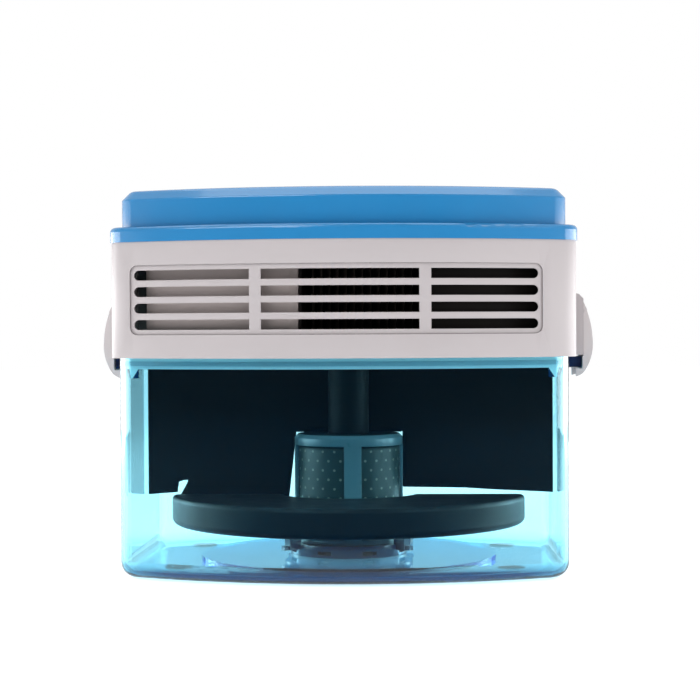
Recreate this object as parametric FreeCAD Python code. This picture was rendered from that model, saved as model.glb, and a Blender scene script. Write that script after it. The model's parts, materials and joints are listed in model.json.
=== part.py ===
"""Tank-top dehumidifier: a clear tank, a head with the cooling unit and fan, and two side latches.

Millimetres. Origin at the bottom centre, +Z up, the front faces -Y.
Air enters the rear cover, is dried on the cold sink and leaves through the front grille.
"""
import FreeCAD, Part
import math
import os
from FreeCAD import Vector

# ---- driving dimensions: outer form ----
BOW_RADIUS = 300.0          # bow of the housing's front and back faces, seen from above
HOUSING_HALF_W = 149.6
HOUSING_HALF_D = 131.5
HOUSING_CORNER = 16.0
HOUSING_WALL = 2.5
TANK_HALF_W = 145.0
TANK_HALF_D = 126.5
TANK_CORNER = 15.0
TANK_WALL = 2.5
LID_FLANGE_HALF_W = 150.5
LID_FLANGE_HALF_D = 131.9
LID_TIER_HALF_W = 143.2
LID_TIER_HALF_D = 124.3

# ---- heights ----
FOOT_HEIGHT = 1.0
TANK_FLOOR_TOP = 4.5
TANK_RIM = 142.8
HOUSING_BOTTOM = 143.0
HOUSING_TOP = 217.2
FLANGE_TOP = 227.0
LID_TOP = 250.7
SKIRT_BOTTOM = 136.0
BASE_PLATE_TOP = 145.5
PLATFORM_TOP = 7.5          # round platform on the tank's floor

# ---- front grille ----
GRILLE_HALF_LENGTH = 131.0
GRILLE_OFFSET = -4.2       # the window sits a little left of the mullions' middle
GRILLE_BOTTOM = 158.0
GRILLE_TOP = 202.0
GRILLE_SETBACK = 1.4
SLOT_COUNT = 4
SLOT_HEIGHT = 6.4
SLOT_PITCH = 10.5
SLOT_HALF_LENGTH = 128.4
MULLION_X = 53.0
MULLION_WIDTH = 7.4
RIB_DEPTH = 10.5

# ---- filter cage and float ----
CAGE_RADIUS = 37.1
CAGE_BORE = 35.2
CAGE_BOTTOM = 16.0
CAGE_TOP = 89.5
CAGE_RIB_TOP = 82.0
CAGE_TURN = 6.5             # degrees the ribs are turned from straight ahead
PIPE_RADIUS = 14.0
PIPE_BOTTOM = 80.0
FLOAT_OUTER = 120.8
FLOAT_INNER = 45.5
FLOAT_BACK = -10.0          # straight rear edge of the float
FLOAT_BOTTOM = 29.0
FLOAT_TOP = 48.6
FLOAT_CORNER = 6.0
MAGNET_Y = -54.0
MAGNET_RADIUS = 4.0
REST_ANGLES = (38.0, 142.0, 218.0, 322.0)
FLOAT_WALL = 2.2

# ---- curtain ----
CURTAIN_Y = 16.0
CURTAIN_THICK = 1.5
CURTAIN_HALF_W = 141.0
CURTAIN_TOP_HALF_W = 137.5
CLAMP_SCREWS = (-112.0, -45.0, 45.0, 112.0)
CLAMP_Z = 139.2

# ---- latch ----
PIVOT_X = 157.2
PIVOT_Z = 172.5
KNUCKLE_RADIUS = 5.0
KNUCKLE_ROOM = 6.9          # radius of the recess the knuckle and the cap's top end turn in
EAR_RADIUS = 2.8
LATCH_HALF_D = 20.0
BOSS_OUT = 159.4
LUG_OUT = 158.6
BOSS_HALF_D = 24.0
PIN_RADIUS = 1.5
RUN_GAP = 0.06              # radial running clearance

# ---- inside the head ----
INNER_INSET = 12.5          # electronics cover and duct panel, in from the housing's face
SKIRT_GAP = 1.8

# ---- cooling unit ----
DUCT_X = (-24.5, 53.0)      # inside faces of the air duct
DUCT_Z = (150.7, 211.3)
DUCT_WALL = 1.5
UNIT_X = 14.0               # middle of the cooling unit
UNIT_Z = 181.0
HOT_BASE_FRONT = -16.0
PLATE = 4.0                 # thickness of each sink's base and of the cooling chip
SCREW_RADIUS = 1.5

# ---- fan ----
FAN_FRONT = 62.0
FAN_DEPTH = 15.0
FAN_BORE = 28.5
HUB_RADIUS = 11.5
BLADE_COUNT = 7

# ---- rear cover, power socket and board ----
COVER_HALF_LENGTH = 62.0
INLET_X = 95.0
INLET_Z = 170.0
INLET_FACE = 109.0
BOARD_Z = 151.0
BOARD_POSTS = [(-118.0, -60.0), (-50.0, -66.0), (-118.0, 44.0), (-50.0, 44.0)]

# ---- button ----
BUTTON_X = 0.0
BUTTON_Y = -92.0
BUTTON_RADIUS = 8.0
LIGHT_X = 16.0

# ---- screws of the cooling unit and fan: (x, z) ----
SINK_SCREWS = [(UNIT_X + sx * 28.0, UNIT_Z + sz * 17.0) for sx in (-1, 1) for sz in (-1, 1)]
FAN_SCREWS = [(UNIT_X + sx * 25.0, UNIT_Z + sz * 25.0) for sx in (-1, 1) for sz in (-1, 1)]

# ---- screw towers: (x, y) ----
LID_TOWERS = [(sx * (HOUSING_HALF_W - 9.0), sy * 55.0) for sx in (-1, 1) for sy in (-1, 1)]
BASE_TOWERS = [(-130.5, -20.0), (130.5, -20.0), (-100.0, 92.0), (100.0, 92.0)]

PARTS = {}


def box(x0, x1, y0, y1, z0, z1):
    return Part.makeBox(x1 - x0, y1 - y0, z1 - z0, Vector(x0, y0, z0))


def rod_z(radius, z0, z1, x=0.0, y=0.0):
    return Part.makeCylinder(radius, z1 - z0, Vector(x, y, z0), Vector(0, 0, 1))


def rod_y(radius, y0, y1, x=0.0, z=0.0):
    return Part.makeCylinder(radius, y1 - y0, Vector(x, y0, z), Vector(0, 1, 0))


def tube_z(outer, inner, z0, z1, x=0.0, y=0.0):
    return rod_z(outer, z0, z1, x, y).cut(rod_z(inner, z0 - 1, z1 + 1, x, y))


def join(shapes):
    return shapes[0].multiFuse(shapes[1:]).removeSplitter()


def bow_edge_y(half_w, half_d, x):
    """Distance from the middle to the bowed face of a barrel plan, at a place x across it."""
    radius = BOW_RADIUS + half_w - HOUSING_HALF_W
    return half_d - radius + math.sqrt(radius ** 2 - x ** 2)


def barrel(half_w, half_d, corner, z0, z1):
    """Upright block with bowed front and back, straight sides and rounded corners."""
    edge_y = bow_edge_y(half_w, half_d, half_w)
    front_left = Vector(-half_w, -edge_y, z0)
    front_right = Vector(half_w, -edge_y, z0)
    back_right = Vector(half_w, edge_y, z0)
    back_left = Vector(-half_w, edge_y, z0)
    outline = Part.Wire([
        Part.Arc(front_left, Vector(0, -half_d, z0), front_right).toShape(),
        Part.LineSegment(front_right, back_right).toShape(),
        Part.Arc(back_right, Vector(0, half_d, z0), back_left).toShape(),
        Part.LineSegment(back_left, front_left).toShape(),
    ])
    block = Part.Face(outline).extrude(Vector(0, 0, z1 - z0))
    upright = [edge for edge in block.Edges if is_upright(edge)]
    return block.makeFillet(corner, upright)


def is_upright(edge):
    first, last = edge.Vertexes[0].Point, edge.Vertexes[-1].Point
    return abs(first.x - last.x) < 1e-6 and abs(first.y - last.y) < 1e-6


def barrel_shell(half_w, half_d, corner, wall, z0, z1):
    outer = barrel(half_w, half_d, corner, z0, z1)
    return outer.cut(barrel(half_w - wall, half_d - wall, corner - wall, z0 - 1, z1 + 1))


def edges_at(shape, z):
    return [edge for edge in shape.Edges if all(abs(v.Z - z) < 1e-4 for v in edge.Vertexes)
            and abs(edge.BoundBox.ZMin - z) < 1e-3 and abs(edge.BoundBox.ZMax - z) < 1e-3]


def rounded_slab(x0, x1, z0, z1, radius, y0, y1):
    """Box with its four edges along Y rounded."""
    block = box(x0, x1, y0, y1, z0, z1)
    long_edges = [e for e in block.Edges if abs(e.Vertexes[0].Y - e.Vertexes[-1].Y) > 1e-6]
    return block.makeFillet(radius, long_edges)


def keep(name, shape):
    PARTS[name] = shape


# ---------------------------------------------------------------- tank and filter

def make_tank():
    outer = barrel(TANK_HALF_W, TANK_HALF_D, TANK_CORNER, FOOT_HEIGHT, TANK_RIM)
    outer = outer.makeFillet(10.0, edges_at(outer, FOOT_HEIGHT))
    inner = barrel(TANK_HALF_W - TANK_WALL, TANK_HALF_D - TANK_WALL, TANK_CORNER - TANK_WALL,
                   TANK_FLOOR_TOP, TANK_RIM + 5)
    inner = inner.makeFillet(7.5, edges_at(inner, TANK_FLOOR_TOP))
    platform = rod_z(101.0, TANK_FLOOR_TOP - 1, PLATFORM_TOP)
    lug_middle = (TANK_HALF_W - 0.6 + LUG_OUT) / 2
    lug_half = LUG_OUT - lug_middle
    lugs = [box(sign * lug_middle - lug_half, sign * lug_middle + lug_half, -15.0, 15.0,
                134.6, 142.0) for sign in (-1, 1)]
    return join([outer.cut(inner), platform] + lugs)


def make_seal():
    """Soft ring on the head's skirt that meets the tank's wall."""
    outer_w = TANK_HALF_W - TANK_WALL - 0.4
    outer_d = TANK_HALF_D - TANK_WALL - 0.4
    return barrel_shell(outer_w, outer_d, 12.4, SKIRT_GAP - 0.4, 138.0, 141.0)


def make_cage_base():
    """Round socket on the tank's floor for the cage, with posts that the float rests on."""
    body = join([rod_z(40.0, PLATFORM_TOP, 13.0), rod_z(43.9, 12.5, CAGE_BOTTOM)])
    body = body.cut(rod_z(33.0, PLATFORM_TOP + 2.0, CAGE_BOTTOM + 1))
    for turn in range(8):
        port = box(30.0, 45.0, -5.0, 5.0, PLATFORM_TOP + 2.0, 12.0)
        port.rotate(Vector(0, 0, 0), Vector(0, 0, 1), turn * 45.0 + 22.5)
        body = body.cut(port)
    rests = []
    for angle in REST_ANGLES:
        post = box(42.0, 51.0, -3.2, 3.2, 12.5, FLOAT_BOTTOM - 0.3)
        toe = box(50.0, 54.5, -2.0, 2.0, 12.5, 15.5)
        for solid in (post, toe):
            solid.rotate(Vector(0, 0, 0), Vector(0, 0, 1), angle)
            rests.append(solid)
    return join([body] + rests)


def make_filter_cage():
    pieces = [tube_z(CAGE_RADIUS, 32.0, CAGE_BOTTOM, 19.0)]
    cap = rod_z(CAGE_RADIUS, CAGE_RIB_TOP, CAGE_TOP)
    cap = cap.makeChamfer(2.4, edges_at(cap, CAGE_TOP))
    cap = cap.cut(rod_z(CAGE_BORE, CAGE_RIB_TOP - 1, CAGE_TOP - 3.0))
    cap = cap.cut(rod_z(PIPE_RADIUS + 0.6, CAGE_TOP - 5, CAGE_TOP + 1))
    pieces.append(cap)
    wall = tube_z(CAGE_RADIUS, CAGE_BORE, 18.5, CAGE_RIB_TOP + 0.5)
    for turn in range(4):
        rib = wall.common(box(30.0, 45.0, -5.8, 5.8, 0.0, 100.0))
        rib.rotate(Vector(0, 0, 0), Vector(0, 0, 1), turn * 90.0 + CAGE_TURN)
        pieces.append(rib)
    return join(pieces)


def float_plan(inset, z0, z1):
    """D-shaped outline in front of the curtain, with a round notch for the cage."""
    plan = tube_z(FLOAT_OUTER - inset, FLOAT_INNER + inset, z0, z1)
    plan = plan.common(box(-200.0, 200.0, -200.0, FLOAT_BACK - inset, z0, z1))
    corners = [edge for edge in plan.Edges
               if is_upright(edge) and abs(edge.Vertexes[0].X) > FLOAT_OUTER - 20]
    return plan.makeFillet(FLOAT_CORNER - inset, corners)


def make_float_collar():
    """Sealed hollow float with a seat for the magnet under its top."""
    collar = float_plan(0.0, FLOAT_BOTTOM, FLOAT_TOP)
    collar = collar.makeFillet(4.5, edges_at(collar, FLOAT_BOTTOM))
    collar = collar.makeFillet(3.0, edges_at(collar, FLOAT_TOP))
    ceiling = FLOAT_TOP - FLOAT_WALL
    collar = collar.cut(float_plan(FLOAT_WALL, FLOAT_BOTTOM + FLOAT_WALL, ceiling))
    seat = tube_z(MAGNET_RADIUS + 1.5, MAGNET_RADIUS, ceiling - 4.0, ceiling + 0.5, 0.0, MAGNET_Y)
    hollow = rod_z(MAGNET_RADIUS, ceiling - 4.0, ceiling, 0.0, MAGNET_Y)
    return join([collar, seat]).cut(hollow)


# ---------------------------------------------------------------- head shells

def screw_tower(x, y, z0, z1, pilot):
    """Round screw post joined to the nearest wall by a thin web."""
    post = rod_z(4.3, z0, z1, x, y)
    sign = 1 if x > 0 else -1
    if abs(y) < 70:
        wall = sign * (HOUSING_HALF_W - 1.7)
        web = box(min(x, wall), max(x, wall), y - 1.0, y + 1.0, z0, z1)
    else:
        web = box(x - 1.0, x + 1.0, y, bow_edge_y(HOUSING_HALF_W, HOUSING_HALF_D, x) - 1.5, z0, z1)
    return join([post, web]), rod_z(pilot, z0 - 1, z1 + 1, x, y)


def boss_outline(sign):
    root = HOUSING_HALF_W - 1.5
    corners = [(root, HOUSING_BOTTOM), (BOSS_OUT, HOUSING_BOTTOM), (BOSS_OUT, 180.8),
               (BOSS_OUT - 3.0, 184.0), (root, 185.6)]
    points = [Vector(sign * x, -BOSS_HALF_D, z) for x, z in corners]
    block = Part.Face(Part.makePolygon(points + points[:1])).extrude(Vector(0, 2 * BOSS_HALF_D, 0))
    return block


def make_housing():
    shell = barrel_shell(HOUSING_HALF_W, HOUSING_HALF_D, HOUSING_CORNER, HOUSING_WALL,
                         HOUSING_BOTTOM, HOUSING_TOP)
    solids = [shell]
    pilots = []
    for x, y in LID_TOWERS:
        post, pilot = screw_tower(x, y, BASE_PLATE_TOP + 0.2, HOUSING_TOP - 1.2, 1.8)
        solids.append(post)
        pilots += [pilot, rod_z(3.4, BASE_PLATE_TOP - 1, 205.0, x, y)]
    for x, y in BASE_TOWERS:
        post, pilot = screw_tower(x, y, BASE_PLATE_TOP + 0.2, 168.0, SCREW_RADIUS)
        solids.append(post)
        pilots.append(pilot)
    pad_depth = 8.0
    solids.append(box(85.0, 105.0, INLET_FACE - 3.0, INLET_FACE + pad_depth, 160.0, 180.0)
                  .common(barrel(HOUSING_HALF_W, HOUSING_HALF_D, HOUSING_CORNER, 150.0, 190.0)))
    for sign in (-1, 1):
        boss = boss_outline(sign)
        ears = [rod_y(EAR_RADIUS, side * 22.2 - 1.8, side * 22.2 + 1.8, sign * PIVOT_X, PIVOT_Z)
                for side in (-1, 1)]
        solids += [boss] + ears
    housing = join(solids)
    cutters = list(pilots)
    cutters.append(rounded_slab(GRILLE_OFFSET - GRILLE_HALF_LENGTH - 0.15,
                                GRILLE_OFFSET + GRILLE_HALF_LENGTH + 0.15,
                                GRILLE_BOTTOM - 0.15, GRILLE_TOP + 0.15, 5.0, -140.0, -60.0))
    cutters.append(rounded_slab(-COVER_HALF_LENGTH - 0.3, COVER_HALF_LENGTH + 0.3,
                                GRILLE_BOTTOM - 0.3, GRILLE_TOP + 0.3, 5.0, 60.0, 140.0))
    cutters.append(box(87.0, 103.0, INLET_FACE, 140.0, 162.0, 178.0))
    cutters.append(rod_y(6.2, 90.0, 130.0, INLET_X, INLET_Z))
    for sign in (-1, 1):
        cutters.append(rod_y(KNUCKLE_ROOM, -LATCH_HALF_D - 0.3, LATCH_HALF_D + 0.3,
                             sign * PIVOT_X, PIVOT_Z))
        cutters.append(rod_y(PIN_RADIUS, -BOSS_HALF_D + 1.0, 30.0, sign * PIVOT_X, PIVOT_Z))
    for cutter in cutters:
        housing = housing.cut(cutter)
    return housing


def slot_row(z, x0, x1, y0, y1, round_left, round_right):
    """One slot cut along X, with half-round ends where asked."""
    half = SLOT_HEIGHT / 2
    left = x0 + half if round_left else x0
    right = x1 - half if round_right else x1
    pieces = [box(left, right, y0, y1, z - half, z + half)]
    if round_left:
        pieces.append(rod_y(half, y0, y1, left, z))
    if round_right:
        pieces.append(rod_y(half, y0, y1, right, z))
    return join(pieces)


def slot_heights():
    middle = (GRILLE_BOTTOM + GRILLE_TOP) / 2
    return [middle + (i - (SLOT_COUNT - 1) / 2) * SLOT_PITCH for i in range(SLOT_COUNT)]


def make_front_grille():
    window = rounded_slab(GRILLE_OFFSET - GRILLE_HALF_LENGTH, GRILLE_OFFSET + GRILLE_HALF_LENGTH,
                          GRILLE_BOTTOM, GRILLE_TOP, 4.9, -140.0, -60.0)
    face_w = HOUSING_HALF_W - GRILLE_SETBACK
    face_d = HOUSING_HALF_D - GRILLE_SETBACK
    plate = barrel_shell(face_w, face_d, HOUSING_CORNER - GRILLE_SETBACK, 3.0,
                         GRILLE_BOTTOM, GRILLE_TOP).common(window)
    inner_mullion = MULLION_X - MULLION_WIDTH / 2
    outer_mullion = MULLION_X + MULLION_WIDTH / 2
    for z in slot_heights():
        runs = [(GRILLE_OFFSET - SLOT_HALF_LENGTH, -outer_mullion, True, False),
                (-inner_mullion, inner_mullion, False, False),
                (outer_mullion, GRILLE_OFFSET + SLOT_HALF_LENGTH, False, True)]
        for x0, x1, round_left, round_right in runs:
            plate = plate.cut(slot_row(z, x0, x1, -140.0, -60.0, round_left, round_right))
    deep = barrel_shell(face_w - 0.2, face_d - 0.2, HOUSING_CORNER - GRILLE_SETBACK, RIB_DEPTH,
                        GRILLE_BOTTOM + 1.0, GRILLE_TOP - 1.0)
    ribs = [deep.common(box(sign * MULLION_X - 2.7, sign * MULLION_X + 2.7, -140, -60, 150, 210))
            for sign in (-1, 1)]
    return join([plate] + ribs)


def make_rear_cover():
    """Pull-off intake cover with a frame on its inside for the foam."""
    window = rounded_slab(-COVER_HALF_LENGTH, COVER_HALF_LENGTH, GRILLE_BOTTOM, GRILLE_TOP,
                          4.7, 60.0, 140.0)
    plate = barrel_shell(HOUSING_HALF_W - 0.4, HOUSING_HALF_D - 0.4, HOUSING_CORNER - 0.4, 2.8,
                         GRILLE_BOTTOM, GRILLE_TOP).common(window)
    for z in slot_heights():
        for x0, x1 in ((-54.0, -20.0), (-16.0, 16.0), (20.0, 54.0)):
            plate = plate.cut(slot_row(z, x0, x1, 60.0, 140.0, True, True))
    frame = rounded_slab(-57.4, 57.4, 160.6, 199.4, 3.0, 110.0, 127.0)
    frame = frame.cut(box(-55.6, 55.6, 100.0, 140.0, 162.4, 197.6))
    frame = frame.common(barrel(HOUSING_HALF_W - 1.0, HOUSING_HALF_D - 1.0, HOUSING_CORNER - 1,
                                150.0, 210.0))
    grip = box(-9.0, 9.0, 126.0, HOUSING_HALF_D - 0.2, 178.8, 181.2)
    return join([plate, frame, grip])


def make_lid():
    flange = barrel(LID_FLANGE_HALF_W, LID_FLANGE_HALF_D, 16.5, HOUSING_TOP, FLANGE_TOP)
    flange = flange.makeFillet(3.0, edges_at(flange, FLANGE_TOP))
    tier = barrel(LID_TIER_HALF_W, LID_TIER_HALF_D, 14.0, FLANGE_TOP - 2.0, LID_TOP)
    tier = tier.makeChamfer(6.0, edges_at(tier, LID_TOP))
    tier = tier.makeFillet(5.0, edges_at(tier, LID_TOP))
    tier = tier.makeFillet(1.2, edges_at(tier, LID_TOP - 6.0))
    hollow = barrel(LID_FLANGE_HALF_W - 3.6, LID_FLANGE_HALF_D - 3.6, 12.9,
                    HOUSING_TOP - 1, FLANGE_TOP - 2.5)
    upper = barrel(LID_TIER_HALF_W - 2.5, LID_TIER_HALF_D - 2.5, 11.5,
                   FLANGE_TOP - 3.0, LID_TOP - 2.5)
    upper = upper.makeChamfer(5.0, edges_at(upper, LID_TOP - 2.5))
    lip = barrel_shell(HOUSING_HALF_W - 2.8, HOUSING_HALF_D - 2.8, 13.0, 1.8,
                       HOUSING_TOP - 4.0, HOUSING_TOP + 3.0)
    for x, y in LID_TOWERS:
        lip = lip.cut(box(x - 7.0, x + 7.0, y - 6.0, y + 6.0, 200.0, 216.4))
    cup = rod_z(BUTTON_RADIUS + 3.0, 240.0, LID_TOP - 1.0, BUTTON_X, BUTTON_Y)
    posts = [rod_z(4.3, HOUSING_TOP - 1.0, 240.0, x, y)
             .common(barrel(LID_TIER_HALF_W, LID_TIER_HALF_D, 14.0, 200.0, 245.0))
             for x, y in LID_TOWERS]
    lid = join([join([flange, tier]).cut(hollow).cut(upper), lip, cup] + posts)
    lid = lid.cut(rod_z(BUTTON_RADIUS + 0.3, 243.0, LID_TOP + 5, BUTTON_X, BUTTON_Y))
    lid = lid.cut(rod_z(3.3, 235.0, 245.0, BUTTON_X, BUTTON_Y))
    lid = lid.cut(rod_z(1.6, 240.0, LID_TOP + 1, LIGHT_X, BUTTON_Y))
    for x, y in LID_TOWERS:
        lid = lid.cut(rod_z(SCREW_RADIUS, HOUSING_TOP - 3, 232.0, x, y))
    return lid


def make_head_base():
    """Floor of the head: plate, skirt inside the tank, curtain rails and board posts."""
    skirt_w = TANK_HALF_W - TANK_WALL - SKIRT_GAP
    skirt_d = TANK_HALF_D - TANK_WALL - SKIRT_GAP
    plate = barrel(HOUSING_HALF_W - 2.7, HOUSING_HALF_D - 2.7, 13.2,
                   HOUSING_BOTTOM, BASE_PLATE_TOP)
    skirt = barrel_shell(skirt_w, skirt_d, 11.0, 2.0, SKIRT_BOTTOM, HOUSING_BOTTOM + 0.5)
    tab_wall = barrel_shell(skirt_w, skirt_d, 11.0, 2.0, SKIRT_BOTTOM - 6.0, SKIRT_BOTTOM + 0.5)
    tabs = [tab_wall.common(box(min(sign * 130.8, sign * 137.2), max(sign * 130.8, sign * 137.2),
                                -110.0, -60.0, 120.0, 140.0)) for sign in (-1, 1)]
    rails = [box(min(sign * 16.0, sign * 136.0), max(sign * 16.0, sign * 136.0),
                 CURTAIN_Y - 2.2, CURTAIN_Y - 0.1, 137.0, HOUSING_BOTTOM + 0.5)
             for sign in (-1, 1)]
    posts = [rod_z(3.0, BASE_PLATE_TOP - 0.5, BOARD_Z, x, y) for x, y in BOARD_POSTS]
    base = join([plate, skirt] + tabs + rails + posts)
    base = base.cut(rod_z(PIPE_RADIUS + 0.1, 130.0, 150.0))
    for x, y in BASE_TOWERS:
        base = base.cut(rod_z(SCREW_RADIUS + 0.2, 130.0, 150.0, x, y))
    for x in CLAMP_SCREWS:
        base = base.cut(rod_y(SCREW_RADIUS, 10.0, 20.0, x, CLAMP_Z))
    return base


# ---------------------------------------------------------------- curtain

def make_curtain():
    """Hanging sheet with a notch round the cage and a lower edge trimmed a little out of true."""
    corners = [
        (-CURTAIN_TOP_HALF_W, 142.5), (CURTAIN_TOP_HALF_W, 142.5), (CURTAIN_TOP_HALF_W, 135.6),
        (CURTAIN_HALF_W, 135.6), (CURTAIN_HALF_W, 47.2), (125.0, 48.0), (101.0, 49.1),
        (80.0, 50.4), (36.8, 50.9), (36.8, 91.0), (-37.2, 91.0), (-37.6, 85.0), (-42.2, 44.5),
        (-119.0, 44.5), (-115.7, 50.4), (-113.2, 55.9), (-119.9, 54.6), (-120.6, 47.4),
        (-CURTAIN_HALF_W, 45.9), (-CURTAIN_HALF_W, 135.6), (-CURTAIN_TOP_HALF_W, 135.6),
    ]
    points = [Vector(x, CURTAIN_Y, z) for x, z in corners]
    sheet = Part.Face(Part.makePolygon(points + points[:1])).extrude(Vector(0, CURTAIN_THICK, 0))
    for x in CLAMP_SCREWS:
        sheet = sheet.cut(rod_y(SCREW_RADIUS + 0.1, 10.0, 25.0, x, CLAMP_Z))
    return sheet


def make_curtain_clamp():
    back = CURTAIN_Y + CURTAIN_THICK
    bar = box(-132.0, 132.0, back, back + 3.0, 134.5, HOUSING_BOTTOM - 0.2)
    for x in CLAMP_SCREWS:
        bar = bar.cut(rod_y(SCREW_RADIUS + 0.1, 10.0, 25.0, x, CLAMP_Z))
    return bar


def make_clamp_screws():
    back = CURTAIN_Y + CURTAIN_THICK + 3.0
    screws = []
    for x in CLAMP_SCREWS:
        shank = rod_y(SCREW_RADIUS, CURTAIN_Y - 2.0, back, x, CLAMP_Z)
        head = rod_y(2.7, back, back + 1.8, x, CLAMP_Z)
        screws.append(shank.fuse(head).removeSplitter())
    return Part.makeCompound(screws)


# ---------------------------------------------------------------- latches

def latch_profile(outline, y0, y1, sign):
    edges = []
    for kind, points in outline:
        places = [Vector(sign * x, y0, z) for x, z in points]
        if kind == "arc":
            edges.append(Part.Arc(places[0], places[1], places[2]).toShape())
        else:
            edges.append(Part.LineSegment(places[0], places[1]).toShape())
    return Part.Face(Part.Wire(edges)).extrude(Vector(0, y1 - y0, 0))


def make_latch(sign):
    """Bowed cap on a hinge knuckle; two toes reach in on either side of the tank's lug."""
    top = (160.0, 178.3)
    crown = (165.9, 153.0)
    low = (161.9, 134.6)
    boss_gap = BOSS_OUT + 0.4
    lug_gap = LUG_OUT + 0.4
    outside = [("arc", [top, (163.8, 167.2), crown]), ("arc", [crown, (165.1, 142.8), low])]
    cap = outside + [
        ("arc", [low, (160.9, 132.6), (lug_gap + 0.4, 130.7)]),
        ("line", [(lug_gap + 0.4, 130.7), (lug_gap + 0.4, 132.6)]),
        ("arc", [(lug_gap + 0.4, 132.6), (160.9, 135.4), (162.2, 139.5)]),
        ("arc", [(162.2, 139.5), (163.4, 152.0), (162.0, 165.0)]),
        ("line", [(162.0, 165.0), top]),
    ]
    toe = 154.6
    cheek = outside + [
        ("arc", [low, (159.3, 130.7), (toe, 128.4)]),
        ("line", [(toe, 128.4), (toe, 133.8)]),
        ("line", [(toe, 133.8), (lug_gap, 133.8)]),
        ("line", [(lug_gap, 133.8), (lug_gap, 142.0)]),
        ("line", [(lug_gap, 142.0), (boss_gap, 142.7)]),
        ("line", [(boss_gap, 142.7), (boss_gap, PIVOT_Z)]),
        ("line", [(boss_gap, PIVOT_Z), top]),
    ]
    pieces = [latch_profile(cap, -LATCH_HALF_D, LATCH_HALF_D, sign)]
    for side in (-1, 1):
        near, far = sorted((side * 16.2, side * LATCH_HALF_D))
        pieces.append(latch_profile(cheek, near, far, sign))
    pieces.append(rod_y(KNUCKLE_RADIUS, -LATCH_HALF_D, LATCH_HALF_D, sign * PIVOT_X, PIVOT_Z))
    latch = join(pieces)
    return latch.cut(rod_y(PIN_RADIUS + RUN_GAP, -30.0, 30.0, sign * PIVOT_X, PIVOT_Z))


def make_latch_pins():
    pins = [rod_y(PIN_RADIUS, -BOSS_HALF_D + 1.2, BOSS_HALF_D - 0.3, sign * PIVOT_X, PIVOT_Z)
            for sign in (-1, 1)]
    return Part.makeCompound(pins)


# ---------------------------------------------------------------- cooling unit

def make_duct():
    """Black air duct, closed on the right by a bowed panel behind the grille."""
    x0, x1 = DUCT_X
    z0, z1 = DUCT_Z
    tube = box(x0 - DUCT_WALL, x1 + DUCT_WALL, -125.0, 108.0, z0 - DUCT_WALL, z1 + DUCT_WALL)
    tube = tube.cut(box(x0, x1, -130.0, 110.0, z0, z1))
    half_w = HOUSING_HALF_W - INNER_INSET
    half_d = HOUSING_HALF_D - INNER_INSET
    tube = tube.common(barrel(half_w, half_d, 10.0, 140.0, 220.0))
    panel = barrel_shell(half_w, half_d, 10.0, 1.6, BASE_PLATE_TOP + 0.2, 214.0)
    panel = panel.common(box(x1 + 0.5, 127.0, -130.0, -40.0, 140.0, 220.0))
    duct = join([tube, panel])
    return duct.cut(rod_z(8.4, 140.0, DUCT_Z[0] + 1))


def fins(x0, x1, count, thickness, y0, y1, z0, z1):
    pitch = (x1 - x0 - thickness) / (count - 1)
    return [box(x0 + i * pitch, x0 + i * pitch + thickness, y0, y1, z0, z1) for i in range(count)]


def make_hot_sink():
    x0, x1 = DUCT_X[0] + 3.0, DUCT_X[1] - 3.0
    base = box(x0, x1, HOT_BASE_FRONT, HOT_BASE_FRONT + PLATE, 157.0, 205.0)
    sink = join([base] + fins(x0, x1, 14, 1.4, HOT_BASE_FRONT - 40.0,
                              HOT_BASE_FRONT + 0.5, 157.0, 205.0))
    for x, z in SINK_SCREWS:
        sink = sink.cut(rod_y(SCREW_RADIUS, HOT_BASE_FRONT + 1.0, 0.0, x, z))
    return sink


def make_cold_sink():
    front = HOT_BASE_FRONT + 2 * PLATE
    base = box(UNIT_X - 33.0, UNIT_X + 33.0, front, front + PLATE, 158.0, 204.0)
    sink = join([base] + fins(UNIT_X - 24.5, UNIT_X + 24.5, 12, 1.2, front + PLATE - 0.5,
                              front + PLATE + 30.0, 158.0, 204.0))
    for x, z in SINK_SCREWS:
        sink = sink.cut(rod_y(SCREW_RADIUS + 0.2, front - 1.0, front + PLATE + 1.0, x, z))
    return sink


def make_chip():
    front = HOT_BASE_FRONT + PLATE
    return box(UNIT_X - 20.0, UNIT_X + 20.0, front, front + PLATE, UNIT_Z - 20.0, UNIT_Z + 20.0)


def make_insulation():
    """Foam frame round the cooling chip, with air gaps above and below."""
    front = HOT_BASE_FRONT + PLATE
    frame = box(DUCT_X[0], DUCT_X[1], front, front + PLATE, DUCT_Z[0], DUCT_Z[1])
    frame = frame.cut(box(UNIT_X - 20.2, UNIT_X + 20.2, -30.0, 0.0, UNIT_Z - 20.2, UNIT_Z + 20.2))
    for z0, z1 in ((DUCT_Z[0] - 1, 156.5), (205.5, DUCT_Z[1] + 1)):
        frame = frame.cut(box(DUCT_X[0] + 4, DUCT_X[1] - 4, -30.0, 0.0, z0, z1))
    for x, z in SINK_SCREWS:
        frame = frame.cut(rod_y(SCREW_RADIUS + 0.2, -30.0, 0.0, x, z))
    return frame


def make_sink_screws():
    head_seat = HOT_BASE_FRONT + 3 * PLATE
    screws = []
    for x, z in SINK_SCREWS:
        shank = rod_y(SCREW_RADIUS, HOT_BASE_FRONT + 1.0, head_seat, x, z)
        screws.append(shank.fuse(rod_y(2.8, head_seat, head_seat + 2.0, x, z)).removeSplitter())
    return Part.makeCompound(screws)


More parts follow.
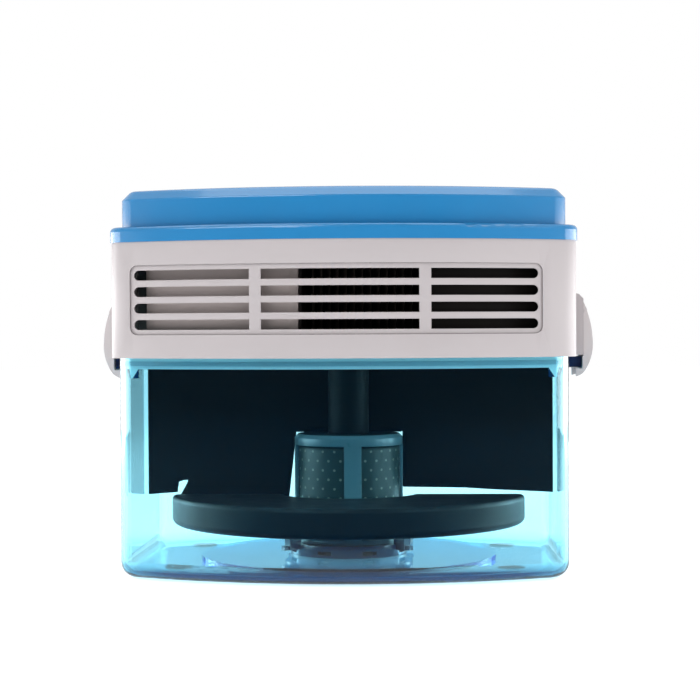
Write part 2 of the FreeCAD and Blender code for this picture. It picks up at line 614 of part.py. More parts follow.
def make_drip_tray():
    floor_z = DUCT_Z[0] + 0.2
    back = 34.0
    front = HOT_BASE_FRONT + 2 * PLATE + 0.4
    tray = box(DUCT_X[0] + 0.3, DUCT_X[1] - 0.3, front, back, floor_z, floor_z + 5.0)
    tray = tray.cut(box(DUCT_X[0] + 1.8, DUCT_X[1] - 1.8, front + 1.4, back - 1.4,
                        floor_z + 1.5, floor_z + 6.0))
    spout = rod_z(8.0, 140.0, floor_z + 1.0)
    return join([tray, spout]).cut(rod_z(6.4, 130.0, floor_z + 6.0))


def make_drain_pipe():
    pipe = rod_z(PIPE_RADIUS, PIPE_BOTTOM, BASE_PLATE_TOP + 1.0)
    flange = rod_z(18.0, BASE_PLATE_TOP, BASE_PLATE_TOP + 2.0)
    return join([pipe, flange]).cut(rod_z(PIPE_RADIUS - 2.0, PIPE_BOTTOM - 1, 150.0))


# ---------------------------------------------------------------- fan

def make_fan_frame():
    frame = box(DUCT_X[0] + 0.2, DUCT_X[1] - 0.2, FAN_FRONT, FAN_FRONT + FAN_DEPTH,
                DUCT_Z[0] + 0.2, DUCT_Z[1] - 0.2)
    frame = frame.cut(rod_y(FAN_BORE, FAN_FRONT - 1, FAN_FRONT + FAN_DEPTH + 1, UNIT_X, UNIT_Z))
    seat = rod_y(11.0, FAN_FRONT, FAN_FRONT + 2.2, UNIT_X, UNIT_Z)
    struts = []
    for turn in range(4):
        strut = box(UNIT_X - 1.6, UNIT_X + 1.6, FAN_FRONT, FAN_FRONT + 2.2,
                    UNIT_Z + 9.0, UNIT_Z + FAN_BORE + 0.8)
        strut.rotate(Vector(UNIT_X, 0, UNIT_Z), Vector(0, 1, 0), 45.0 + turn * 90.0)
        struts.append(strut)
    frame = join([frame, seat] + struts)
    for x, z in FAN_SCREWS:
        frame = frame.cut(rod_y(SCREW_RADIUS, FAN_FRONT + 4.0, FAN_FRONT + FAN_DEPTH + 1, x, z))
    return frame


def make_fan_screws():
    back = FAN_FRONT + FAN_DEPTH
    screws = []
    for x, z in FAN_SCREWS:
        shank = rod_y(SCREW_RADIUS, FAN_FRONT + 5.0, back, x, z)
        screws.append(shank.fuse(rod_y(2.6, back, back + 1.8, x, z)).removeSplitter())
    return Part.makeCompound(screws)


def make_fan_motor():
    stator = rod_y(8.6, FAN_FRONT + 2.2, FAN_FRONT + 11.0, UNIT_X, UNIT_Z)
    return stator.cut(rod_y(3.0, FAN_FRONT, FAN_FRONT + 20.0, UNIT_X, UNIT_Z))


def make_fan_bush():
    bush = rod_y(3.0, FAN_FRONT + 2.2, FAN_FRONT + 11.0, UNIT_X, UNIT_Z)
    return bush.cut(rod_y(1.0 + RUN_GAP, FAN_FRONT, FAN_FRONT + 20.0, UNIT_X, UNIT_Z))


def make_impeller():
    hub_front = FAN_FRONT + 3.4
    hub_back = FAN_FRONT + 14.0
    hub = rod_y(HUB_RADIUS, hub_front, hub_back, UNIT_X, UNIT_Z)
    hub = hub.cut(rod_y(9.4, hub_front - 1, hub_back - 2.0, UNIT_X, UNIT_Z))
    blades = []
    for turn in range(BLADE_COUNT):
        blade = box(-0.7, 0.7, -5.4, 5.4, HUB_RADIUS - 0.8, FAN_BORE)
        blade.rotate(Vector(0, 0, 0), Vector(0, 0, 1), 48.0)
        blade.translate(Vector(UNIT_X, (hub_front + hub_back) / 2, UNIT_Z))
        blade.rotate(Vector(UNIT_X, 0, UNIT_Z), Vector(0, 1, 0), turn * 360.0 / BLADE_COUNT)
        blades.append(blade)
    swept = rod_y(FAN_BORE - 0.8, hub_front, hub_back, UNIT_X, UNIT_Z)
    swept = swept.cut(rod_y(9.4, hub_front - 1, hub_back - 2.0, UNIT_X, UNIT_Z))
    wheel = join([hub] + blades).common(swept)
    return wheel.cut(rod_y(1.0, FAN_FRONT, hub_back - 0.6, UNIT_X, UNIT_Z))


def make_fan_shaft():
    return rod_y(1.0, FAN_FRONT + 3.0, FAN_FRONT + 13.4, UNIT_X, UNIT_Z)


# ---------------------------------------------------------------- electrics

def make_electronics_cover():
    x0, x1 = -126.0, DUCT_X[0] - DUCT_WALL - 0.5
    half_w = HOUSING_HALF_W - INNER_INSET
    half_d = HOUSING_HALF_D - INNER_INSET
    outer = barrel(half_w, half_d, 10.0, BASE_PLATE_TOP + 0.1, 212.0)
    outer = outer.common(box(x0, x1, -130.0, 58.0, 140.0, 220.0))
    inner = barrel(half_w - 1.8, half_d - 1.8, 8.2, BASE_PLATE_TOP - 1.0, 210.2)
    inner = inner.common(box(x0 + 1.8, x1 - 1.8, -130.0, 56.2, 140.0, 220.0))
    return outer.cut(inner)


def make_board_parts():
    top = BOARD_Z + 1.6
    pieces = [rod_z(6.0, top, top + 20.0, -112.0, -52.0), rod_z(6.0, top, top + 20.0, -96.0, -52.0)]
    pieces.append(box(-84.0, -58.0, -62.0, -34.0, top, top + 18.0))
    pieces.append(box(-116.0, -104.0, -20.0, 14.0, top, top + 12.0))
    for i in range(3):
        pieces.append(box(-92.0 + i * 14.0, -83.0 + i * 14.0, 26.0, 36.0, top, top + 9.0))
    pieces.append(box(-92.0, -72.0, -16.0, 4.0, top, top + 2.4))
    return Part.makeCompound(pieces)


def make_inlet():
    body = rod_y(6.1, 98.0, INLET_FACE + 0.5, INLET_X, INLET_Z)
    flange = rod_y(7.6, INLET_FACE, INLET_FACE + 2.0, INLET_X, INLET_Z)
    socket = join([body, flange])
    socket = socket.cut(rod_y(3.0, 101.0, INLET_FACE + 3.0, INLET_X, INLET_Z))
    return join([socket, rod_y(1.0, 100.5, INLET_FACE + 0.5, INLET_X, INLET_Z)])


def screws_up(places, head_z, tip_z, head_radius):
    """Pan-head screws driven upwards, heads at the bottom."""
    screws = []
    for x, y in places:
        shank = rod_z(SCREW_RADIUS, head_z, tip_z, x, y)
        screws.append(shank.fuse(rod_z(head_radius, head_z - 2.0, head_z, x, y)).removeSplitter())
    return Part.makeCompound(screws)


# ---------------------------------------------------------------- button

def make_button():
    cap = rod_z(BUTTON_RADIUS, 247.4, LID_TOP + 0.3, BUTTON_X, BUTTON_Y)
    cap = cap.makeFillet(0.8, edges_at(cap, LID_TOP + 0.3))
    return join([cap, rod_z(3.0, 241.0, 248.0, BUTTON_X, BUTTON_Y)])


def make_button_dome():
    """Silicone dome that pushes the button back up."""
    bottom, height = 243.1, 4.1
    place, up = Vector(BUTTON_X, BUTTON_Y, bottom), Vector(0, 0, 1)
    return Part.makeCone(6.6, 4.7, height, place, up).cut(Part.makeCone(5.8, 3.9, height, place, up))


def make_all():
    keep("tank", make_tank())
    keep("tank_feet", Part.makeCompound([rod_z(9.0, 0.0, FOOT_HEIGHT, sx * 108.0, sy * 72.0)
                                         for sx in (-1, 1) for sy in (-1, 1)]))
    keep("cage_base", make_cage_base())
    keep("filter_cage", make_filter_cage())
    keep("filter_mesh", tube_z(CAGE_BORE - 0.3, CAGE_BORE - 1.1, 19.2, CAGE_RIB_TOP - 0.2))
    keep("carbon_core", tube_z(CAGE_BORE - 1.8, 17.0, 19.4, CAGE_RIB_TOP - 1.0))
    keep("float_collar", make_float_collar())
    keep("float_magnet", rod_z(MAGNET_RADIUS, FLOAT_TOP - FLOAT_WALL - 4.0,
                               FLOAT_TOP - FLOAT_WALL, 0.0, MAGNET_Y))
    keep("housing", make_housing())
    keep("front_grille", make_front_grille())
    keep("head_base", make_head_base())
    keep("tank_seal", make_seal())
    keep("lid", make_lid())
    keep("drain_pipe", make_drain_pipe())
    keep("drip_tray", make_drip_tray())
    keep("cold_sink", make_cold_sink())
    keep("cooling_chip", make_chip())
    keep("insulation_frame", make_insulation())
    keep("hot_sink", make_hot_sink())
    keep("sink_screws", make_sink_screws())
    keep("air_duct", make_duct())
    keep("fan_frame", make_fan_frame())
    keep("fan_motor", make_fan_motor())
    keep("fan_bush", make_fan_bush())
    keep("fan_screws", make_fan_screws())
    keep("impeller", make_impeller())
    keep("fan_shaft", make_fan_shaft())
    keep("electronics_cover", make_electronics_cover())
    keep("circuit_board", box(-123.0, -45.0, -70.0, 50.0, BOARD_Z, BOARD_Z + 1.6))
    keep("board_parts", make_board_parts())
    keep("level_switch", box(-9.0, 9.0, MAGNET_Y - 3, MAGNET_Y + 3,
                             BASE_PLATE_TOP, BASE_PLATE_TOP + 3.2))
    keep("power_inlet", make_inlet())
    keep("curtain", make_curtain())
    keep("curtain_clamp", make_curtain_clamp())
    keep("clamp_screws", make_clamp_screws())
    keep("latch_pins", make_latch_pins())
    keep("latch_left", make_latch(-1))
    keep("latch_right", make_latch(1))
    keep("lid_screws", screws_up(LID_TOWERS, 205.0, 228.0, 3.0))
    keep("base_screws", screws_up(BASE_TOWERS, HOUSING_BOTTOM, 160.0, 3.0))
    keep("rear_cover", make_rear_cover())
    keep("foam_filter", box(-55.3, 55.3, 111.0, 121.5, 162.7, 197.3))
    keep("power_button", make_button())
    keep("button_dome", make_button_dome())
    keep("button_board", box(-9.0, 9.0, BUTTON_Y - 9, BUTTON_Y + 9, 234.0, 235.4))
    keep("button_switch", box(-3.0, 3.0, BUTTON_Y - 3, BUTTON_Y + 3, 235.4, 239.3))
    keep("light_pipe", rod_z(1.5, 241.0, LID_TOP - 0.05, LIGHT_X, BUTTON_Y))


make_all()
os.makedirs("parts", exist_ok=True)
for name, shape in PARTS.items():
    whole = shape.isValid() and all(solid.isClosed() for solid in shape.Solids)
    print(name, len(shape.Solids), round(shape.Volume, 1), "ok" if whole else "BROKEN")
    shape.exportStep("parts/" + name + ".step")
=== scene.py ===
"""Finished look of the tank dehumidifier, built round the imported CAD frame. Metres, +Z up, front faces -Y."""
import json
import math

import bmesh
import bpy
from mathutils import Matrix, Vector


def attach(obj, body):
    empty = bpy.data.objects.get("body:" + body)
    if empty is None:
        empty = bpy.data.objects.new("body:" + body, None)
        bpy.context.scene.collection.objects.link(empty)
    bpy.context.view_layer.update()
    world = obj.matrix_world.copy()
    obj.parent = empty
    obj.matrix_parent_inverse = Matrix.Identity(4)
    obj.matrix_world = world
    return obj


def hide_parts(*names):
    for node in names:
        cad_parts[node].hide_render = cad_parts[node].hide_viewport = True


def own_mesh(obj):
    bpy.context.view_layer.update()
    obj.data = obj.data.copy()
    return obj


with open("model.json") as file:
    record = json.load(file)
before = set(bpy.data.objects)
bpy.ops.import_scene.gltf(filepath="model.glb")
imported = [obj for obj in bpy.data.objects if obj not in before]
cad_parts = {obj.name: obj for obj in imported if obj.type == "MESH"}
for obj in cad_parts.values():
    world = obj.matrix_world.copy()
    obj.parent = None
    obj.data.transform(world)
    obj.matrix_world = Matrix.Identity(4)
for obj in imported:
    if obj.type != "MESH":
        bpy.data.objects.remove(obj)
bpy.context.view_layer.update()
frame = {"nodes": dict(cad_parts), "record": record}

NODES = frame["nodes"]
MM = 0.001

# ---- places and travels of the design, in metres ----
LUG_START = 0.1480          # only the catches reach further out than this
TAB_START = 0.1300          # the tabs are the skirt's only faces beyond this and below TAB_TOP
TAB_TOP = 0.1367
# painted shade: the dark sheet placed here inside the tank stands in for the darkness seen through its clear
# walls
SHADE_SHEET_Y = (0.0160, 0.0175)
SLEEVE_RADIUS = 0.0346
SLEEVE_Z = (0.0193, 0.0817)

# ---- sizes of the finished pieces, in metres unless millimetres are named ----
SLEEVE_THICKNESS = 0.0006
SLEEVE_HOLE = 0.00095       # radius of a hole, filled with a pale disc of painted light
SLEEVE_COLUMNS = 26
SLEEVE_ROWS = 10
SHADE_SHEET_THICKNESS = 0.0013
SHADE_SHEET_CLAMP_Z = 134.0     # millimetres; the sheet hangs free below this
SHADE_SHEET_DROP = 84.0         # millimetres from the clamp down to where the drift is full
SHADE_SHEET_STEP = 4            # millimetres between the sheet's cuts
EDGE_ANGLE = 28.0           # degrees between faces from which an edge of a moulding is rounded
MERGE_DISTANCE = 0.00002

# ---- stage, in metres and degrees ----
FRONT_WORLD = 0.03          # strength of the backdrop's light from the camera's side
BACK_WORLD = 1.0            # and from behind
WORLD_FADE_Y = (-0.9, 0.1)  # between these directions it changes from one to the other
FLOOR_GLOW = 0.62
FLOOR_HALF = 6.0
FLOOR_WHITE = (0.9, 0.9, 0.9)
FLOOR_MIRRORED = (0.02, 0.02, 0.022)
FLOOR_UNDER_TANK = (0.012, 0.13, 0.26)
MIRRORED_Y = (-0.16, -0.40)      # in front of the object the floor's mirror image is dimmed
UNDER_TANK_Y = (-0.055, -0.095)  # the front part of the floor seen through the tank is shaded
AIM = (0, 0, 0.15)
CAMERA_AZIMUTH = 2.3
CAMERA_PITCH = 0.68
CAMERA_ROLL = -0.27
CAMERA_DISTANCE = 1.27
CAMERA_HEIGHT = 0.1617
CAMERA_LENS = 94.8
CAMERA_SENSOR = 36.0
CAMERA_SHIFT = 0.0025


# ------------------------------------------------------------------ materials

class Nodes:
    """Small helper that adds nodes to the tree of a material or a world and links them."""

    def __init__(self, owner, output):
        owner.use_nodes = True
        self.owner = owner
        self.tree = owner.node_tree
        self.tree.nodes.clear()
        self.out = self.add(output)

    def add(self, kind, **settings):
        node = self.tree.nodes.new("ShaderNode" + kind)
        for key, value in settings.items():
            setattr(node, key, value)
        return node

    def link(self, source, target):
        self.tree.links.new(source, target)

    def noise(self, scale, detail):
        """Noise in object space, in cycles per metre."""
        place = self.add("TexCoord")
        texture = self.add("TexNoise")
        texture.inputs["Scale"].default_value = scale
        texture.inputs["Detail"].default_value = detail
        self.link(place.outputs["Object"], texture.inputs["Vector"])
        return texture.outputs["Fac"]

    def ramp(self, value, start, end, low=0.0, high=1.0):
        """Goes from low to high while value goes from start to end."""
        node = self.add("MapRange")
        node.inputs["From Min"].default_value = start
        node.inputs["From Max"].default_value = end
        node.inputs["To Min"].default_value = low
        node.inputs["To Max"].default_value = high
        self.link(value, node.inputs["Value"])
        return node.outputs["Result"]

    def math(self, operation, first, second, clamp=False):
        node = self.add("Math", operation=operation, use_clamp=clamp)
        self.link(first, node.inputs[0])
        self.link(second, node.inputs[1])
        return node.outputs["Value"]

    def mix(self, factor, first, second):
        """The first shader where factor is 0 and the second where it is 1."""
        node = self.add("MixShader")
        self.link(factor, node.inputs["Fac"])
        self.link(first, node.inputs[1])
        self.link(second, node.inputs[2])
        return node.outputs["Shader"]

    def matt(self, colour):
        node = self.add("BsdfDiffuse")
        node.inputs["Color"].default_value = (*colour, 1)
        return node.outputs["BSDF"]

    def tint(self, colour, other, factor):
        node = self.add("MixRGB")
        node.inputs["Color1"].default_value = (*colour, 1)
        node.inputs["Color2"].default_value = (*other, 1)
        self.link(factor, node.inputs["Fac"])
        return node.outputs["Color"]

    def bump(self, height, strength, distance):
        node = self.add("Bump")
        node.inputs["Strength"].default_value = strength
        node.inputs["Distance"].default_value = distance
        self.link(height, node.inputs["Height"])
        return node.outputs["Normal"]


def new_material(name):
    return Nodes(bpy.data.materials.new(name), "OutputMaterial")


def scaled(colour, factor):
    return tuple(channel * factor for channel in colour)


def moulded(name, colour, rough=(0.35, 0.45), grain=900.0, grain_depth=0.00004, strength=0.15,
            shade=0.93, metallic=0.0, coat=0.0, coat_rough=0.1, specular=0.5, glow=0.0):
    """Moulded plastic, rubber or metal: slight colour drift, fine grain and uneven gloss; glow is painted light
    that the surface gives off though it is no lamp.
    """
    m = new_material(name)
    shader = m.add("BsdfPrincipled")
    drift = m.noise(14.0, 2.0)
    m.link(m.tint(scaled(colour, shade), colour, drift), shader.inputs["Base Color"])
    m.link(m.ramp(m.noise(60.0, 4.0), 0.25, 0.75, *rough), shader.inputs["Roughness"])
    m.link(m.bump(m.noise(grain, 2.0), strength, grain_depth), shader.inputs["Normal"])
    shader.inputs["Metallic"].default_value = metallic
    shader.inputs["Coat Weight"].default_value = coat
    shader.inputs["Coat Roughness"].default_value = coat_rough
    shader.inputs["Specular IOR Level"].default_value = specular
    shader.inputs["Emission Color"].default_value = (*colour, 1)
    shader.inputs["Emission Strength"].default_value = glow
    m.link(shader.outputs["BSDF"], m.out.inputs["Surface"])
    return m.owner


def clear_plastic(name, density, passed, rough=0.01, ior=1.49):
    """See-through moulding: refracting walls, tinted by thickness, that let lamps light the inside."""
    m = new_material(name)
    glass = m.add("BsdfPrincipled")
    glass.inputs["Base Color"].default_value = (1, 1, 1, 1)
    glass.inputs["Transmission Weight"].default_value = 1.0
    glass.inputs["Roughness"].default_value = rough
    glass.inputs["IOR"].default_value = ior
    open_way = m.add("BsdfTransparent")
    open_way.inputs["Color"].default_value = (0.94, 0.97, 0.98, 1)  # what a lamp's light keeps
    in_shadow = m.add("LightPath").outputs["Is Shadow Ray"]
    m.link(m.mix(in_shadow, glass.outputs["BSDF"], open_way.outputs["BSDF"]), m.out.inputs["Surface"])
    tint = m.add("VolumeAbsorption")
    tint.inputs["Color"].default_value = (*passed, 1)
    tint.inputs["Density"].default_value = density
    m.link(tint.outputs["Volume"], m.out.inputs["Volume"])
    return m.owner


MATERIALS = {
    "tank_clear_blue": clear_plastic("tank_clear_blue", 185.0, (0.02, 0.80, 0.95)),
    "cage_base_navy": moulded("cage_base_navy", (0.010, 0.030, 0.10), (0.15, 0.25), coat=0.4),
    "cage_teal": moulded("cage_teal", (0.15, 0.24, 0.27), (0.25, 0.38), coat=0.2),
    "dark_mesh": moulded("dark_mesh", (0.020, 0.038, 0.033), (0.35, 0.5)),
    "carbon": moulded("carbon", (0.03, 0.04, 0.04), (0.6, 0.9), 500.0, 0.0004, 0.7, shade=0.3),
    "float_black": moulded("float_black", (0.017, 0.010, 0.010), (0.34, 0.44), specular=0.24),
    # painted shade: the near-black, low-gloss sheet that stands in for the darkness seen through the tank
    "curtain_black": moulded("curtain_black", (0.020, 0.0095, 0.0075), (0.30, 0.45), 300.0, 0.0001,
                             specular=0.12),
    "housing_grey": moulded("housing_grey", (0.475, 0.437, 0.447), (0.38, 0.48)),
    "latch_grey": moulded("latch_grey", (0.62, 0.58, 0.585), (0.34, 0.44)),
    "lid_blue": moulded("lid_blue", (0.022, 0.21, 0.47), (0.16, 0.24), 400.0, 0.00002, 0.08,
                        coat=0.4, coat_rough=0.06),
    "inner_grey": moulded("inner_grey", (0.41, 0.355, 0.345), (0.5, 0.6)),
    "inner_black": moulded("inner_black", (0.007, 0.0045, 0.004), (0.5, 0.65), specular=0.25),
    # painted light: glow=0.17 makes the skirt give off light of its own, brightening it as if more light
    # reached it inside the tank
    "base_blue": moulded("base_blue", (0.66, 0.95, 0.98), (0.4, 0.5), glow=0.17),
    # painted light: glow=0.10 makes the seal give off light of its own, brightening it inside the tank
    "seal_rubber": moulded("seal_rubber", (0.42, 0.70, 0.76), (0.5, 0.6), glow=0.10),
    "foot_rubber": moulded("foot_rubber", (0.30, 0.34, 0.36), (0.5, 0.6)),
    "sink_black": moulded("sink_black", (0.09, 0.07, 0.06), (0.4, 0.55), metallic=0.6),
    "sink_silver": moulded("sink_silver", (0.72, 0.72, 0.74), (0.25, 0.4), metallic=1.0),
    "chip_white": moulded("chip_white", (0.85, 0.85, 0.82), (0.5, 0.6)),
    "foam_black": moulded("foam_black", (0.02, 0.02, 0.02), (0.8, 0.95), 1500.0, 0.0004, 0.8),
    "foam_grey": moulded("foam_grey", (0.06, 0.06, 0.065), (0.8, 0.95), 1200.0, 0.0006, 0.9),
    "steel": moulded("steel", (0.56, 0.56, 0.57), (0.22, 0.38), metallic=1.0),
    "brass": moulded("brass", (0.70, 0.50, 0.22), (0.25, 0.4), metallic=1.0),
    "board_green": moulded("board_green", (0.01, 0.12, 0.05), (0.3, 0.45)),
    "magnet_nickel": moulded("magnet_nickel", (0.68, 0.67, 0.65), (0.12, 0.2), metallic=1.0),
    "button_white": moulded("button_white", (0.72, 0.74, 0.77), (0.25, 0.35), coat=0.3),
    "light_white": moulded("light_white", (0.80, 0.90, 0.95), (0.15, 0.25)),
}
PAINTED_HOLE_LIGHT = moulded("painted_hole_light", (0.46, 0.50, 0.40), (0.3, 0.5), shade=0.15)
SLOT_OF = {row["node"]: row["material_slot"] for row in frame["record"]["subparts"]}


for node_name, node_object in NODES.items():
    node_object.data.materials.clear()
    node_object.data.materials.append(MATERIALS[SLOT_OF[node_name]])


# ------------------------------------------------------------------ edges and finishes on the CAD nodes

def soften(name, width):
    """Rounds the sharp edges of a moulding a little."""
    obj = NODES[name]
    weld = obj.modifiers.new("weld", "WELD")
    weld.merge_threshold = MERGE_DISTANCE
    bevel = obj.modifiers.new("bevel", "BEVEL")
    bevel.width = width
    bevel.segments = 3
    bevel.limit_method = "ANGLE"
    bevel.angle_limit = math.radians(EDGE_ANGLE)
    bevel.harden_normals = True
    bevel.use_clamp_overlap = True
    bevel.miter_outer = "MITER_ARC"


for name, width in (("housing", 0.0007), ("front_grille", 0.0005), ("rear_cover", 0.0005),
                    ("latch_left", 0.0006), ("latch_right", 0.0006), ("filter_cage", 0.0007),
                    ("cage_base", 0.0006), ("head_base", 0.0004),
                    ("drain_pipe", 0.0005), ("electronics_cover", 0.0006), ("tank_feet", 0.0003),
                    ("curtain_clamp", 0.0004), ("power_inlet", 0.0004), ("fan_frame", 0.0005)):
    soften(name, width)


def paint(name, slot, chosen):
    """Gives another material to the faces of a moulding for whose corners chosen(places) is true; on the tank's
    catches and the filter cage's top it is painted shade.
    """
    mesh = NODES[name].data
    mesh.materials.append(MATERIALS[slot])
    for face in mesh.polygons:
        if chosen([mesh.vertices[i].co for i in face.vertices]):
            face.material_index = 1


def is_lug(places):
    return max(abs(place.x) for place in places) > LUG_START


def is_cage_top(places):
    return min(place.z for place in places) > CAGE_TOP


def is_tab(places):
    return min(abs(place.x) for place in places) > TAB_START and max(place.z for place in places) < TAB_TOP


CAGE_TOP = max(vert.co.z for vert in NODES["filter_cage"].data.vertices) - 0.0001
paint("tank", "cage_base_navy", is_lug)           # painted shade: the two catches moulded on its sides, clear like the rest of the tank, get the opaque navy for how dark they look in shadow
paint("filter_cage", "inner_black", is_cage_top)  # painted shade: the cage's top face gets the near-black of the drain pipe over it, for the dark seen in its open top
paint("head_base", "cage_base_navy", is_tab)      # the two small tabs under the ends of the skirt


# ------------------------------------------------------------------ pieces

def piece(name, mesh, slot_name, body, node):
    """Puts a finished piece in the scene, on its body, in place of the CAD node named."""
    obj = bpy.data.objects.new(name, mesh)
    bpy.context.scene.collection.objects.link(obj)
    mesh.materials.clear()
    mesh.materials.append(MATERIALS[slot_name])
    for face in mesh.polygons:
        face.use_smooth = True
    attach(obj, body)
    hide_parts(node)
    return obj


def thicken(obj, thickness):
    """Gives a sheet its thickness, half on each side."""
    solid = obj.modifiers.new("thickness", "SOLIDIFY")
    solid.thickness = thickness
    solid.offset = 0.0
    solid.use_even_offset = True


# the corners of the dark sheet of painted shade, X and Z in millimetres: the top edge, the right side, the
# notch and the nick
SHADE_SHEET_OUTLINE = [
    (-137.5, 142.4), (137.5, 142.4), (137.6, 135.6), (141.0, 134.6), (141.0, 47.2), (125.0, 48.0),
    (101.0, 49.1), (80.0, 50.4), (37.4, 50.9), (36.8, 51.6), (36.8, 89.6), (36.2, 90.0),
    (-36.6, 90.0), (-37.2, 89.6), (-37.6, 85.0), (-42.2, 44.5), (-119.0, 44.5), (-117.4, 47.4),
    (-115.7, 50.4), (-113.8, 53.9), (-113.2, 55.9), (-116.0, 55.8), (-119.6, 54.6),
    (-120.2, 51.0), (-120.6, 47.4), (-141.0, 45.9), (-141.0, 134.6), (-137.6, 135.6),
]


def shade_sheet_drift(x, z):
    """How far the hanging sheet stands out of its plane, nothing at the clamp, in millimetres."""
    free = min(max((SHADE_SHEET_CLAMP_Z - z) / SHADE_SHEET_DROP, 0.0), 1.0)
    wave = math.sin(x * 0.041 + 0.8) + 0.6 * math.sin(x * 0.093 + z * 0.02 + 2.1)
    return free ** 1.4 * 0.55 * wave + free * 0.25 * math.sin(z * 0.09)


def make_shade_sheet():
    """Painted shade: the dark sheet that hangs across the tank, notched round the filter, standing in for the
    darkness seen through the tank's clear walls.
    """
    bm = bmesh.new()
    bm.faces.new([bm.verts.new((x, 0.0, z)) for x, z in SHADE_SHEET_OUTLINE])
    # cut across X and then across Z, so that the sheet can drift between the cuts
    for axis, low, high in ((0, -140, 141), (2, 46, 142)):
        normal = (1, 0, 0) if axis == 0 else (0, 0, 1)
        for place in range(low, high, SHADE_SHEET_STEP):
            point = tuple(place if k == axis else 0.0 for k in range(3))
            bmesh.ops.bisect_plane(bm, geom=bm.verts[:] + bm.edges[:] + bm.faces[:],
                                   plane_co=point, plane_no=normal)
    middle = (SHADE_SHEET_Y[0] + SHADE_SHEET_Y[1]) / 2
    for vert in bm.verts:
        x, z = vert.co.x, vert.co.z
        vert.co = (x * MM, middle + shade_sheet_drift(x, z) * MM, z * MM)
    mesh = bpy.data.meshes.new("painted_shade_sheet")
    bm.to_mesh(mesh)
    bm.free()
    sheet = piece("painted_shade_sheet", mesh, "curtain_black", "head", "curtain")
    thicken(sheet, SHADE_SHEET_THICKNESS)


def make_sleeve():
    """Sleeve round the filter: staggered rows of holes filled with pale discs, painted light for the bright
    dots seen at the punched holes.
    """
    low, high = SLEEVE_Z
    cell_h = (high - low) / SLEEVE_ROWS
    cell_w = 2 * math.pi * SLEEVE_RADIUS / SLEEVE_COLUMNS
    bm = bmesh.new()

    def vert(u, v):
        angle = u / SLEEVE_RADIUS
        return bm.verts.new((SLEEVE_RADIUS * math.cos(angle), SLEEVE_RADIUS * math.sin(angle), v))

    rim = [(-0.5, -0.5), (0, -0.5), (0.5, -0.5), (0.5, 0), (0.5, 0.5), (0, 0.5), (-0.5, 0.5), (-0.5, 0)]
    for row in range(SLEEVE_ROWS):
        v0 = low + (row + 0.5) * cell_h
        for column in range(SLEEVE_COLUMNS):
            u0 = (column + 0.5 * (row % 2)) * cell_w
            outer = [vert(u0 + a * cell_w, v0 + b * cell_h) for a, b in rim]
            inner = []
            for a, b in rim:
                turn = math.atan2(b * cell_h, a * cell_w)
                inner.append(vert(u0 + SLEEVE_HOLE * math.cos(turn), v0 + SLEEVE_HOLE * math.sin(turn)))
            for i in range(len(rim)):
                k = (i + 1) % len(rim)
                bm.faces.new([outer[i], outer[k], inner[k], inner[i]])
            # each hole is closed with a disc that gets the pale painted light
            bm.faces.new(inner)
    bmesh.ops.remove_doubles(bm, verts=bm.verts[:], dist=MERGE_DISTANCE)
    bmesh.ops.recalc_face_normals(bm, faces=bm.faces[:])
    mesh = bpy.data.meshes.new("punched_sleeve")
    bm.to_mesh(mesh)
    bm.free()
    sleeve = piece("punched_sleeve", mesh, "dark_mesh", "tank", "filter_mesh")
    # painted light: the discs in the holes get the pale material, for the bright dots seen at the punched holes
    mesh.materials.append(PAINTED_HOLE_LIGHT)
    for face in mesh.polygons:
        face.material_index = int(len(face.vertices) == len(rim))
    thicken(sleeve, SLEEVE_THICKNESS)


def make_dome():
    """The silicone dome under the button, as a piece of its own with its own copy of the mesh."""
    mesh = NODES["button_dome"].data.copy()
    mesh.name = "soft_dome"
    dome = piece("soft_dome", mesh, SLOT_OF["button_dome"], "head", "button_dome")
    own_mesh(dome)


make_shade_sheet()
make_sleeve()
make_dome()


# ------------------------------------------------------------------ stage

def white_world():
    """Even white backdrop to look at, and softer light from the camera's side than from behind."""
    world = bpy.data.worlds.new("studio")
    bpy.context.scene.world = world
    w = Nodes(world, "OutputWorld")
    seen = w.add("Background")
    seen.inputs["Color"].default_value = (1, 1, 1, 1)
    lit = w.add("Background")
    split = w.add("SeparateXYZ")
    w.link(w.add("TexCoord").outputs["Generated"], split.inputs["Vector"])
    w.link(w.ramp(split.outputs["Y"], *WORLD_FADE_Y, FRONT_WORLD, BACK_WORLD), lit.inputs["Strength"])
    # seen directly or straight through clear walls, but not as light that falls on the inside
    path = w.add("LightPath").outputs
    bounces = w.math("ADD", path["Diffuse Depth"], path["Glossy Depth"])
    unbounced = w.math("SUBTRACT", path["Is Transmission Ray"], bounces, clamp=True)
    straight = w.math("MAXIMUM", path["Is Camera Ray"], unbounced)
    w.link(w.mix(straight, lit.outputs["Background"], seen.outputs["Background"]), w.out.inputs["Surface"])


def softbox(name, place, size, power, lights="both", aim=AIM):
    """Large soft lamp that lights matt surfaces, shows as a gloss highlight, or both."""
    data = bpy.data.lights.new(name, "AREA")
    data.shape = "RECTANGLE"
    data.size, data.size_y = size
    data.energy = power
    lamp = bpy.data.objects.new(name, data)
    lamp.location = place
    lamp.rotation_euler = (Vector(aim) - Vector(place)).to_track_quat("-Z", "Y").to_euler()
    lamp.visible_camera = False
    lamp.visible_diffuse = lights != "gloss"
    lamp.visible_glossy = lights != "diffuse"
    bpy.context.scene.collection.objects.link(lamp)


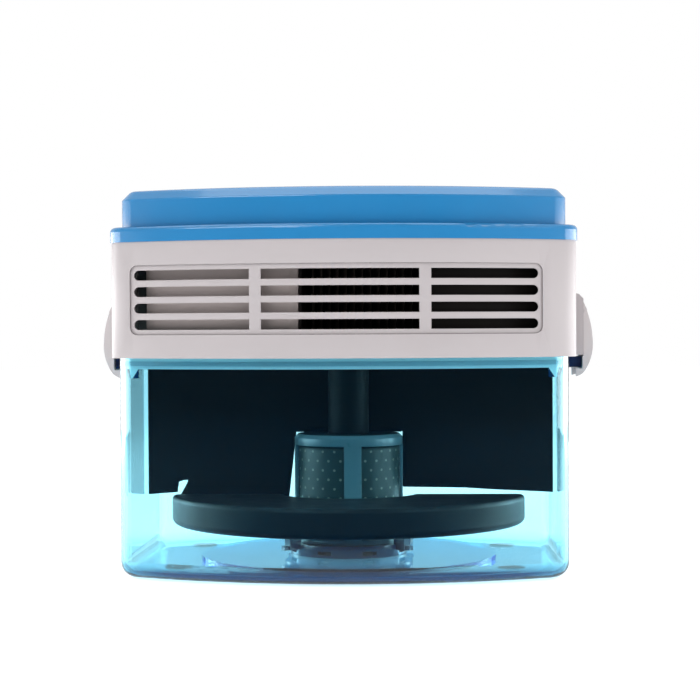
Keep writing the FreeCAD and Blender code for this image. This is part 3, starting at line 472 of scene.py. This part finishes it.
def floor_white():
    """Pale matt floor that glows a little, so that it meets the backdrop, and is dim in mirror images."""
    m = new_material("floor_white")
    glow = m.add("Emission")
    glow.inputs["Strength"].default_value = FLOOR_GLOW
    bright = m.add("AddShader")
    m.link(m.matt(FLOOR_WHITE), bright.inputs[0])
    m.link(glow.outputs["Emission"], bright.inputs[1])
    split = m.add("SeparateXYZ")
    m.link(m.add("TexCoord").outputs["Object"], split.inputs["Vector"])
    forward = split.outputs["Y"]
    path = m.add("LightPath").outputs
    mirrored = m.math("MULTIPLY", path["Glossy Depth"], m.ramp(forward, *MIRRORED_Y), clamp=True)
    dimmed = m.mix(mirrored, bright.outputs["Shader"], m.matt(FLOOR_MIRRORED))
    # under the clear tank it is shaded, so that the thick lower edge keeps its deep blue
    under = m.math("MULTIPLY", path["Is Transmission Ray"], m.ramp(forward, *UNDER_TANK_Y), clamp=True)
    m.link(m.mix(under, dimmed, m.matt(FLOOR_UNDER_TANK)), m.out.inputs["Surface"])
    return m.owner


def floor():
    """Plain pale sweep under the object."""
    mesh = bpy.data.meshes.new("floor")
    corners = [(x * FLOOR_HALF, y * FLOOR_HALF, 0) for x, y in ((-1, -1), (1, -1), (1, 1), (-1, 1))]
    mesh.from_pydata(corners, [], [(0, 1, 2, 3)])
    plane = bpy.data.objects.new("floor", mesh)
    bpy.context.scene.collection.objects.link(plane)
    plane.data.materials.append(floor_white())


def camera():
    """A long lens at the front, a little to the right of the middle and just above the tank."""
    azimuth = math.radians(CAMERA_AZIMUTH)
    data = bpy.data.cameras.new("camera")
    data.sensor_width = CAMERA_SENSOR
    data.lens = CAMERA_LENS
    data.shift_x = CAMERA_SHIFT
    eye = bpy.data.objects.new("camera", data)
    turn = (Matrix.Rotation(azimuth, 4, "Z") @ Matrix.Rotation(math.radians(90.0 - CAMERA_PITCH), 4, "X")
            @ Matrix.Rotation(math.radians(CAMERA_ROLL), 4, "Z"))
    place = Vector((CAMERA_DISTANCE * math.sin(azimuth), -CAMERA_DISTANCE * math.cos(azimuth), CAMERA_HEIGHT))
    eye.matrix_world = Matrix.Translation(place) @ turn
    bpy.context.scene.collection.objects.link(eye)
    bpy.context.scene.camera = eye


white_world()
floor()
camera()
softbox("key", (-0.9, -1.5, 1.5), (1.2, 1.0), 17.0)
softbox("fill", (1.3, -1.2, 0.9), (0.9, 0.9), 8.0, "diffuse")
softbox("top", (0.0, 0.2, 2.0), (1.6, 1.6), 12.0, aim=(0, 0, 0.1))
for side, x in (("left", -1), ("right", 1)):
    softbox("edge_" + side, (1.1 * x, 0.75, 0.35), (1.0, 1.0), 13.0, "diffuse")
    softbox("rim_" + side, (1.19 * x, 0.20, 0.16), (1.75, 0.26), 8.4, "gloss", aim=(0, 0, 0.16))
bpy.context.scene.view_settings.view_transform = "Standard"
